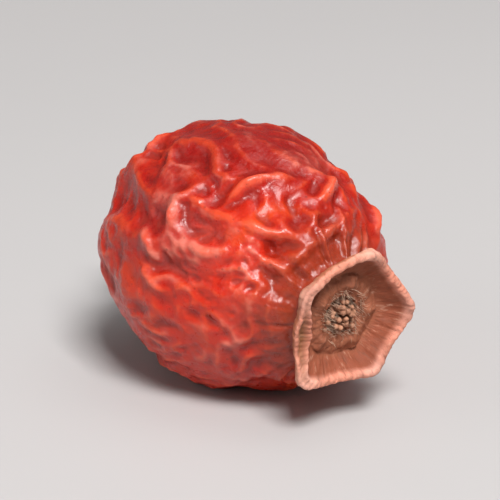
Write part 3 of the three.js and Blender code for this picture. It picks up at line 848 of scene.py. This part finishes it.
def tubes(paths, radii, sides):
    """Round tubes along paths: each section is a circle square to the path's own direction, ends closed.

    paths is count by steps by 3, radii count by steps. Returns points, faces and the share along each tube.
    """
    count, steps = radii.shape
    forward = np.gradient(paths, axis=1)
    forward /= np.linalg.norm(forward, axis=-1, keepdims=True)
    helper = np.where(np.abs(forward[..., :1]) < 0.8, [[[1.0, 0, 0]]], [[[0, 0, 1.0]]])
    side = np.cross(forward, helper)
    side /= np.linalg.norm(side, axis=-1, keepdims=True)
    other = np.cross(forward, side)
    angle = angles(sides)
    circle = side[:, :, None] * np.cos(angle)[:, None] + other[:, :, None] * np.sin(angle)[:, None]
    rings = paths[:, :, None] + circle * radii[:, :, None, None]
    along = np.repeat(np.linspace(0, 1, steps), sides)
    points, faces, shares = [], [], []
    for number in range(count):
        start = number * (steps * sides + 2)
        low, high = start + steps * sides, start + steps * sides + 1
        top = start + (steps - 1) * sides
        points += [rings[number].reshape(-1, 3), paths[number, :1], paths[number, -1:]]
        faces += grid_faces(steps, sides, start)
        faces += [(low, start + i, start + (i + 1) % sides) for i in range(sides)]
        faces += [(top + i, high, top + (i + 1) % sides) for i in range(sides)]
        shares += [along, [0.0, 1.0]]
    return np.concatenate(points), [tuple(face)[::-1] for face in faces], np.concatenate(shares)


def make_styles():
    """The bunch of dried styles: thin bent tubes on a sunflower spiral, each swollen at its tip as a bell."""
    draw = np.random.default_rng(SEED)
    number = np.arange(STYLES)
    off = TUFT_RADIUS * TUFT_FILL * np.sqrt((number + 0.5) / STYLES)
    turn = number * GOLDEN_TURN + draw.normal(0, 0.15, STYLES)
    dome = TUFT_DOME * (off / TUFT_RADIUS) ** 2
    top = TUFT_TOP - SOCKET_LEVEL - dome + draw.uniform(-0.16, 0.1, STYLES)
    share = np.linspace(0, 1, STYLE_STEPS)[None]
    lean = draw.normal(0, 0.12, (STYLES, 1)) * share ** 2
    twist = turn[:, None] + draw.normal(0, 0.35, (STYLES, 1)) * share
    spread = off[:, None] * (0.72 + 0.36 * share) + lean
    paths = around(twist, spread, COLLAR_FOOT + SOCKET_LEVEL + top[:, None] * share)
    thickness = draw.uniform(*STYLE_THICKNESS, (STYLES, 1))
    swollen = 0.85 + TIP_SWELL * np.exp(-((share - TIP_PLACE) / TIP_BREADTH) ** 2)
    rounded_off = 1 - 0.6 * smooth(share, 0.96, 1)
    points, faces, along = tubes(paths, thickness * swollen * rounded_off, STYLE_SIDES)
    finish = thread_finish("dried_styles", STYLE_ROOT, STYLE_TIP, 2200.0)
    return new_piece("dried_styles_bunch", points, faces, finish, marks={"along": along})


def make_dish_hairs():
    """Silky hairs round the styles: tapered three-sided threads, each bent and leaning by its own draw.

    Those rooted down in the socket are longer, so that they reach out of it.
    """
    draw = np.random.default_rng(SEED + 1)
    turn = draw.uniform(0, FULL_TURN, HAIRS)
    off = draw.uniform(*HAIR_RING, HAIRS)
    in_dish = off > SOCKET_RADIUS
    base = COLLAR_FOOT + np.where(in_dish, DISH_LEVEL + HAIR_ROOT_RISE, SOCKET_LEVEL)
    length = draw.uniform(*HAIR_LENGTH, HAIRS) + np.where(in_dish, 0, SOCKET_HAIR_EXTRA)
    share = np.linspace(0, 1, HAIR_STEPS)[None]
    bend = draw.normal(0, 0.22, (HAIRS, 1))
    inward = draw.uniform(-0.35, 0.15, (HAIRS, 1))
    angle = turn[:, None] + bend * share ** 2
    paths = around(angle, off[:, None] + inward * share, base[:, None] + length[:, None] * share)
    radii = HAIR_RADIUS * (1 - HAIR_TAPER * share) + 0 * bend
    points, faces, along = tubes(paths, radii, HAIR_SIDES)
    finish = thread_finish("silky_hairs", HAIR_ROOT, HAIR_TIP, 2600.0)
    return new_piece("dish_hairs", points, faces, finish, marks={"along": along})


# Stalk

def stalk_ring(angle, share, scale, torn):
    """A ring a share of the way along the stalk: ribbed by a cosine, rippled, and bent by a square."""
    ribs = STALK_RELIEF * np.cos(STALK_RIBS * angle + 1.3 * np.sin(2 * angle + 1))
    ripples = ripple(angle, STALK_RIPPLES, share * 2) + ripple(angle, STALK_FLUTES, share * 3)
    wrinkles = ripple(angle, STALK_WRINKLES, share * 9)
    swollen = blend(STALK_SWELL, 1, smooth(share, 0.25, 0.6)) + BREAK_SWELL * smooth(share, 0.75, 1)
    radius = (STALK_RADIUS * swollen + ribs + ripples + wrinkles) * scale
    ring = around(angle, radius, STALK_START - STALK_LENGTH * share + torn)
    ring[..., 2] += STALK_BEND * share * share
    return ring


def make_stalk():
    """The broken stalk: rows run out across its splintered end, then down its side into the hip.

    Each row is its share along the stalk, its scale, how far it is torn back, and how much it is torn wood.
    """
    angle = angles(STALK_COLUMNS)
    fibre = np.abs(np.sin(FIBRES_ROUND * angle + 0.7)) ** 0.6
    tear = ripple(angle, TEAR, 1.3, 8.1) + fibre * ripple(angle, FIBRE_TEAR, 4.4)
    rows = []
    for inset in np.linspace(0.08, 0.94, BREAK_RINGS):
        splinter = ripple(angle, SPLINTERS, 9.1, 3, inset) + ripple(angle, FINE_SPLINTERS, 1.1, 0, inset)
        torn_back = tear * inset + splinter * (1 - inset / 2)
        rows.append((0.92 + 0.05 * inset, inset, torn_back, 1 - inset / 2))
    for share in np.linspace(0.98, 0.02, BARK_RINGS):
        rows.append((share, 1, tear * smooth(share, 0.7, 1), 0.4 * smooth(share, 0.9, 0.98)))
    rows.append((0, 0.5, 0, 0))
    rings = np.stack([stalk_ring(angle, *row[:3]) for row in rows])
    first = around(0, 0, STALK_START - STALK_LENGTH * BREAK_MIDDLE)
    first[2] += STALK_BEND * BREAK_MIDDLE_LIFT
    points, faces = closed_skin(rings, first, around(0, 0, STALK_START))
    along, turn = grid_marks([row[0] for row in rows], angle)
    torn, _ = grid_marks([row[3] for row in rows], angle)
    uvs = np.stack([with_ends(turn, 0, 0), with_ends(along, 1, 0)], -1)
    marks = {"along": with_ends(along, 1, 0), "torn": with_ends(torn, 1, 0)}
    return new_piece("broken_stalk_stub", points, faces, stalk_finish(), uvs, marks)


# Finishes

class Finish:
    """A node tree with short ways to add nodes and join them."""

    def __init__(self, tree):
        self.tree = tree

    def fill(self, node, inputs):
        """Joins a node's inputs to the outputs given for them, or sets their plain values."""
        for name, value in inputs.items():
            if isinstance(value, bpy.types.NodeSocket):
                self.tree.links.new(value, node.inputs[name])
            else:
                node.inputs[name].default_value = value
        return node

    def node(self, kind, inputs=None, **settings):
        """A new node with its settings and inputs."""
        made = self.tree.nodes.new(kind)
        for name, value in settings.items():
            setattr(made, name, value)
        return self.fill(made, inputs or {})

    def math(self, operation, first, second=0.5):
        """The result of one sum on two values."""
        return self.node("ShaderNodeMath", {0: first, 1: second}, operation=operation).outputs[0]

    def mix(self, share, first, second):
        """Two colours mixed by a share."""
        return self.node("ShaderNodeMix", {0: share, 6: first, 7: second}, data_type="RGBA").outputs[2]

    def layered(self, colour, layers):
        """A colour with tones laid over it in order, each by a mask times the most that it covers."""
        for tone, mask, most in layers:
            share = mask if most == 1 else self.math("MULTIPLY", mask, most)
            colour = self.mix(share, colour, tone)
        return colour

    def span(self, value, low, high, to_low=0.0, to_high=1.0):
        """A value's range from low to high carried smoothly to another range."""
        inputs = {"Value": value, "From Min": low, "From Max": high, "To Min": to_low, "To Max": to_high}
        return self.node("ShaderNodeMapRange", inputs, interpolation_type="SMOOTHSTEP").outputs[0]

    def noise(self, place, scale, **inputs):
        """Blender's own noise at a place, scale in waves a metre."""
        return self.node("ShaderNodeTexNoise", {"Vector": place, "Scale": scale, **inputs}).outputs[0]

    def bump(self, height, strength, distance):
        """A normal that a height bends, for the grain that is too fine for the mesh."""
        inputs = {"Height": height, "Strength": strength, "Distance": distance}
        return self.node("ShaderNodeBump", inputs).outputs[0]

    def grouped(self, group, inputs):
        """The first output of a node group placed in a material with its own values."""
        return self.fill(self.node("ShaderNodeGroup", node_tree=group), inputs).outputs[0]

    def blotches(self, place, scale, level, softness, warp=0.6):
        """The mask of the mottle group, placed here."""
        inputs = {"Place": place, "Scale": scale, "Level": level, "Softness": softness, "Warp": warp}
        return self.grouped(MOTTLE, inputs)

    def mark(self, name):
        """A point attribute of the piece's own mesh."""
        return self.node("ShaderNodeAttribute", attribute_name=name).outputs["Fac"]

    def place(self):
        """Object coordinates, in metres."""
        return self.node("ShaderNodeTexCoord").outputs["Object"]

    def surface(self):
        """The piece's own UV map: its turn round the hip, and its share along."""
        return self.node("ShaderNodeUVMap", uv_map="surface").outputs[0]


def rgb(red, green, blue):
    """A colour given in screen values from 0 to 255, as the linear one that nodes take."""
    screen = np.array([red, green, blue]) / 255
    linear = np.where(screen <= 0.04045, screen / 12.92, ((screen + 0.055) / 1.055) ** 2.4)
    return (*(float(value) for value in linear), 1.0)


# Tones
SKIN_RED = rgb(186, 30, 10)
SKIN_CRIMSON = rgb(152, 14, 10)
SKIN_ORANGE = rgb(208, 66, 10)
SKIN_FLECK = rgb(206, 62, 22)
SKIN_TOP_SHADE = rgb(128, 10, 8)
SKIN_HOLLOW_SHADE = rgb(104, 8, 6)
SKIN_RIDGE_GLOW = rgb(226, 86, 46)
SKIN_FOLD_HIGHLIGHT = rgb(236, 106, 80)
SKIN_DUST = rgb(206, 120, 104)
SKIN_SPECK = rgb(84, 20, 12)
SKIN_AT_NECK = rgb(120, 52, 30)
SKIN_AT_STALK = rgb(112, 40, 22)
CALYX_FOOT = rgb(128, 44, 26)
CALYX_WALL = rgb(186, 112, 78)
CALYX_RIM = rgb(212, 136, 112)
CALYX_CORNER_HIGHLIGHT = rgb(236, 182, 164)
CALYX_GROOVE = rgb(112, 74, 34)
CALYX_INSIDE = rgb(140, 72, 48)
CALYX_DISH = rgb(150, 88, 62)
CALYX_STAIN = rgb(110, 54, 34)
CALYX_DARK_FIBRE = rgb(104, 58, 38)
CALYX_PALE_FIBRE = rgb(222, 176, 150)
STYLE_ROOT = rgb(112, 64, 44)
STYLE_TIP = rgb(182, 130, 100)
HAIR_ROOT = rgb(170, 128, 102)
HAIR_TIP = rgb(214, 184, 160)
BARK_AT_HIP = rgb(110, 44, 26)
BARK_AT_BREAK = rgb(122, 76, 48)
BARK_DARK_FIBRE = rgb(70, 36, 22)
BARK_SPOT = rgb(150, 98, 64)
WOOD_PALE = rgb(198, 152, 112)
WOOD_PITH = rgb(108, 70, 44)
GROUND_PALE = rgb(182, 179, 178)
GROUND_CLOUD = rgb(179, 176, 175)
SURROUND = rgb(238, 236, 236)


def new_group(name, inputs, output):
    """An empty node group: its finish helper, its inputs by name, and its output node."""
    tree = bpy.data.node_groups.new(name, "ShaderNodeTree")
    for title, value in inputs.items():
        kind = "NodeSocketVector" if value is None else "NodeSocketFloat"
        socket = tree.interface.new_socket(title, in_out="INPUT", socket_type=kind)
        if value is not None:
            socket.default_value = value
    tree.interface.new_socket(output, in_out="OUTPUT", socket_type="NodeSocketFloat")
    finish = Finish(tree)
    return finish, finish.node("NodeGroupInput").outputs, finish.node("NodeGroupOutput")


def make_mottle():
    """Soft-edged blotches: warped noise cut at a level. Gives a mask from 0 to 1."""
    inputs = {"Place": None, "Scale": 400.0, "Level": 0.5, "Softness": 0.1, "Warp": 0.6}
    finish, given, out = new_group("mottle", inputs, "Mask")
    blotch = finish.noise(given["Place"], given["Scale"], Detail=5.0, Roughness=0.6, Distortion=given["Warp"])
    low = finish.math("SUBTRACT", given["Level"], given["Softness"])
    high = finish.math("ADD", given["Level"], given["Softness"])
    finish.fill(out, {"Mask": finish.span(blotch, low, high)})
    return finish.tree


def make_specks():
    """Small round specks: distance to scattered points, cut close to them. Gives a mask from 0 to 1."""
    finish, given, out = new_group("specks", {"Place": None, "Scale": 900.0, "Size": 0.18}, "Mask")
    dots = finish.node("ShaderNodeTexVoronoi", {"Vector": given["Place"], "Scale": given["Scale"]})
    own_share = finish.node("ShaderNodeSeparateColor", {"Color": dots.outputs["Color"]}).outputs[0]
    size = finish.math("MULTIPLY", given["Size"], own_share)
    finish.fill(out, {"Mask": finish.math("LESS_THAN", dots.outputs["Distance"], size)})
    return finish.tree


def make_fibres():
    """Dry plant fibres along a surface: noise stretched along V, fine across U. Gives a height from 0 to 1.

    U is wound into a circle, so that the fibres meet where the surface closes.
    """
    finish, given, out = new_group("fibres", {"Surface": None, "Across": 90.0, "Along": 3.0}, "Height")
    split = finish.node("ShaderNodeSeparateXYZ", {"Vector": given["Surface"]})
    turn = finish.math("MULTIPLY", split.outputs[0], FULL_TURN)
    across = finish.math("DIVIDE", given["Across"], FULL_TURN)
    east = finish.math("MULTIPLY", finish.math("COSINE", turn), across)
    north = finish.math("MULTIPLY", finish.math("SINE", turn), across)
    along = finish.math("MULTIPLY", split.outputs[1], given["Along"])
    wound = finish.node("ShaderNodeCombineXYZ", {0: east, 1: north, 2: along}).outputs[0]
    finish.fill(out, {"Height": finish.noise(wound, 1.0, Detail=4.0, Roughness=0.65, Distortion=0.3)})
    return finish.tree


MOTTLE = make_mottle()
SPECKS = make_specks()
FIBRES = make_fibres()


def new_finish(name):
    """A material with one shader, its finish helper, and the place that its patterns are read at."""
    material = bpy.data.materials.new(name)
    material.use_nodes = True
    finish = Finish(material.node_tree)
    return material, finish, material.node_tree.nodes["Principled BSDF"], finish.place()


def skin_finish():
    """Dried rose hip skin: red, orange where thin, painted shade in the hollows and on top, painted light on
    crests and folds, dusty on some crests, glossy.
    """
    material, finish, shader, place = new_finish("dried_skin")
    crest = finish.mark("crest")
    broad = finish.blotches(place, 170.0, 0.52, 0.14)
    thin = finish.blotches(place, 260.0, 0.6, 0.1, 1.2)
    fine = finish.blotches(place, 1500.0, 0.5, 0.2)
    dusty = finish.blotches(place, 330.0, 0.6, 0.08)
    dusty = finish.math("MULTIPLY", dusty, finish.span(crest, 0.4, 0.9, 0.1, 0.6))
    specks = finish.grouped(SPECKS, {"Place": place, "Scale": 1900.0, "Size": 0.16})
    # Painted shade: the hollows between crests darker crimson
    hollow = finish.span(crest, 0.45, 0.05, 0.0, 0.52)
    # Painted light: the crests paler orange, a glow of light through the thin skin
    ridge = finish.math("MULTIPLY", finish.span(crest, 0.55, 1.0), finish.span(broad, 0.0, 1.0, 0.5, 0.2))
    colour = finish.layered(finish.mix(broad, SKIN_RED, SKIN_CRIMSON), [
        (SKIN_ORANGE, thin, 0.75),
        (SKIN_FLECK, fine, 0.3),
        # painted shade on the top side
        (SKIN_TOP_SHADE, finish.mark("painted_top_shade"), 1),
        (SKIN_HOLLOW_SHADE, hollow, 1),
        (SKIN_RIDGE_GLOW, ridge, 1),
        # painted highlight on the fold crests
        (SKIN_FOLD_HIGHLIGHT, finish.mark("on_fold"), 0.38),
        (SKIN_DUST, dusty, 1),
        (SKIN_SPECK, specks, 0.35),
        (SKIN_AT_NECK, finish.mark("to_neck"), 0.75),
        (SKIN_AT_STALK, finish.mark("to_stalk"), 0.6),
    ])
    rough = finish.math("ADD", finish.span(fine, 0.0, 1.0, 0.25, 0.42), finish.math("MULTIPLY", dusty, 0.3))
    grain = finish.noise(place, 2600.0, Detail=5.0, Roughness=0.6)
    pores = finish.node("ShaderNodeTexVoronoi", {"Vector": place, "Scale": 3600.0}).outputs["Distance"]
    height = finish.math("ADD", grain, finish.math("MULTIPLY", pores, 0.5))
    finish.fill(shader, {
        "Base Color": colour,
        "Roughness": rough,
        "Specular IOR Level": 0.38,
        "Coat Weight": 0.12,
        "Coat Roughness": 0.28,
        "Subsurface Weight": 0.1,
        "Subsurface Radius": (1.0, 0.22, 0.12),
        "Subsurface Scale": 0.0006,
        "Normal": finish.bump(height, 0.55, 0.0001),
    })
    return material


def collar_finish():
    """Dry calyx wood: pale tan on the rim with painted highlights at its corners, reddish down the outside,
    browner and stained in the dish.
    """
    material, finish, shader, place = new_finish("woody_calyx")
    profile = finish.mark("profile")
    strands = finish.grouped(FIBRES, {"Surface": finish.surface(), "Across": 90.0, "Along": 9.0})
    stains = finish.blotches(place, 700.0, 0.52, 0.15)
    colour = finish.layered(finish.mix(finish.span(profile, 0.05, 0.36), CALYX_FOOT, CALYX_WALL), [
        (CALYX_RIM, finish.span(profile, 0.36, 0.43), 1),
        # painted highlight at the rim's corners
        (CALYX_CORNER_HIGHLIGHT, finish.mark("corner"), 0.5),
        (CALYX_GROOVE, finish.mark("groove"), 0.9),
        (CALYX_INSIDE, finish.span(profile, 0.575, 0.63), 1),
        (CALYX_DISH, finish.span(profile, 0.7, 0.86), 1),
        (CALYX_STAIN, stains, 0.45),
        (CALYX_DARK_FIBRE, finish.span(strands, 0.5, 0.3, 0.0, 0.5), 1),
        (CALYX_PALE_FIBRE, finish.span(strands, 0.55, 0.75, 0.0, 0.4), 1),
    ])
    grain = finish.noise(place, 4200.0, Detail=4.0)
    height = finish.math("ADD", strands, finish.math("MULTIPLY", grain, 0.5))
    finish.fill(shader, {
        "Base Color": colour,
        "Roughness": finish.span(strands, 0.3, 0.7, 0.62, 0.8),
        "Specular IOR Level": 0.3,
        "Subsurface Weight": 0.08,
        "Subsurface Radius": (1.0, 0.5, 0.3),
        "Subsurface Scale": 0.0004,
        "Normal": finish.bump(height, 0.6, 0.00008),
    })
    return material


def thread_finish(name, root, tip, scale):
    """Dry threads: one tone at the root and another at the tip, mottled along them."""
    material, finish, shader, place = new_finish(name)
    spots = finish.blotches(place, scale, 0.5, 0.2)
    colour = finish.layered(finish.mix(finish.mark("along"), root, tip), [
        (root, spots, 0.5),
    ])
    grain = finish.noise(place, scale * 3, Detail=3.0)
    finish.fill(shader, {"Base Color": colour, "Roughness": 0.75, "Normal": finish.bump(grain, 0.4, 0.00003)})
    return material


def stalk_finish():
    """Broken stalk: brown bark with fibres along it, and straw-coloured wood at the tear."""
    material, finish, shader, place = new_finish("broken_stalk")
    torn = finish.mark("torn")
    strands = finish.grouped(FIBRES, {"Surface": finish.surface(), "Across": 50.0, "Along": 4.0})
    spots = finish.blotches(place, 900.0, 0.5, 0.15)
    bark = finish.layered(finish.mix(finish.mark("along"), BARK_AT_HIP, BARK_AT_BREAK), [
        (BARK_DARK_FIBRE, finish.span(strands, 0.55, 0.3, 0.0, 0.7), 1),
        (BARK_SPOT, spots, 0.4),
    ])
    wood = finish.layered(WOOD_PALE, [
        (BARK_SPOT, spots, 0.6),
        (WOOD_PITH, finish.span(torn, 0.86, 0.97), 1),
    ])
    colour = finish.mix(finish.span(torn, 0.2, 0.6), bark, wood)
    bumped = finish.bump(strands, 0.7, 0.00008)
    finish.fill(shader, {"Base Color": colour, "Roughness": 0.72, "Normal": bumped})
    return material


def ground_finish():
    """Plain pale ground, matte, with the faintest unevenness of tone."""
    material, finish, shader, place = new_finish("pale_ground")
    cloud = finish.blotches(place, 12.0, 0.5, 0.3)
    finish.fill(shader, {"Base Color": finish.mix(cloud, GROUND_PALE, GROUND_CLOUD), "Roughness": 0.6})
    return material


# Stage and light

def make_ground():
    """A wide flat square of ground through the origin's height."""
    mesh = bpy.data.meshes.new("ground")
    corners = [(GROUND_REACH * x, GROUND_REACH * y, 0) for x, y in ((-1, -1), (1, -1), (1, 1), (-1, 1))]
    mesh.from_pydata(corners, [], [(0, 1, 2, 3)])
    mesh.materials.append(ground_finish())
    ground = bpy.data.objects.new("ground", mesh)
    bpy.context.scene.collection.objects.link(ground)


def make_light():
    """Square soft boxes aimed at the hip, and an even pale surround."""
    for name, azimuth, elevation, distance, size, power in SOFT_BOXES:
        light = bpy.data.objects.new(name, bpy.data.lights.new(name, "AREA"))
        light.data.size = size
        light.data.energy = power
        look_from(light, azimuth, elevation, distance)
        bpy.context.scene.collection.objects.link(light)
    world = bpy.data.worlds.new("surround")
    world.use_nodes = True
    background = world.node_tree.nodes["Background"]
    background.inputs["Color"].default_value = SURROUND
    background.inputs["Strength"].default_value = SURROUND_STRENGTH
    bpy.context.scene.world = world
    bpy.context.scene.view_settings.view_transform = "Standard"


make_ground()
make_light()

skin = make_skin()
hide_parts("hip_flesh")

collar = make_collar()
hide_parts("calyx_collar")

styles = make_styles()
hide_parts("style_tuft")

make_dish_hairs()

stalk = make_stalk()
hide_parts("stalk_stub")
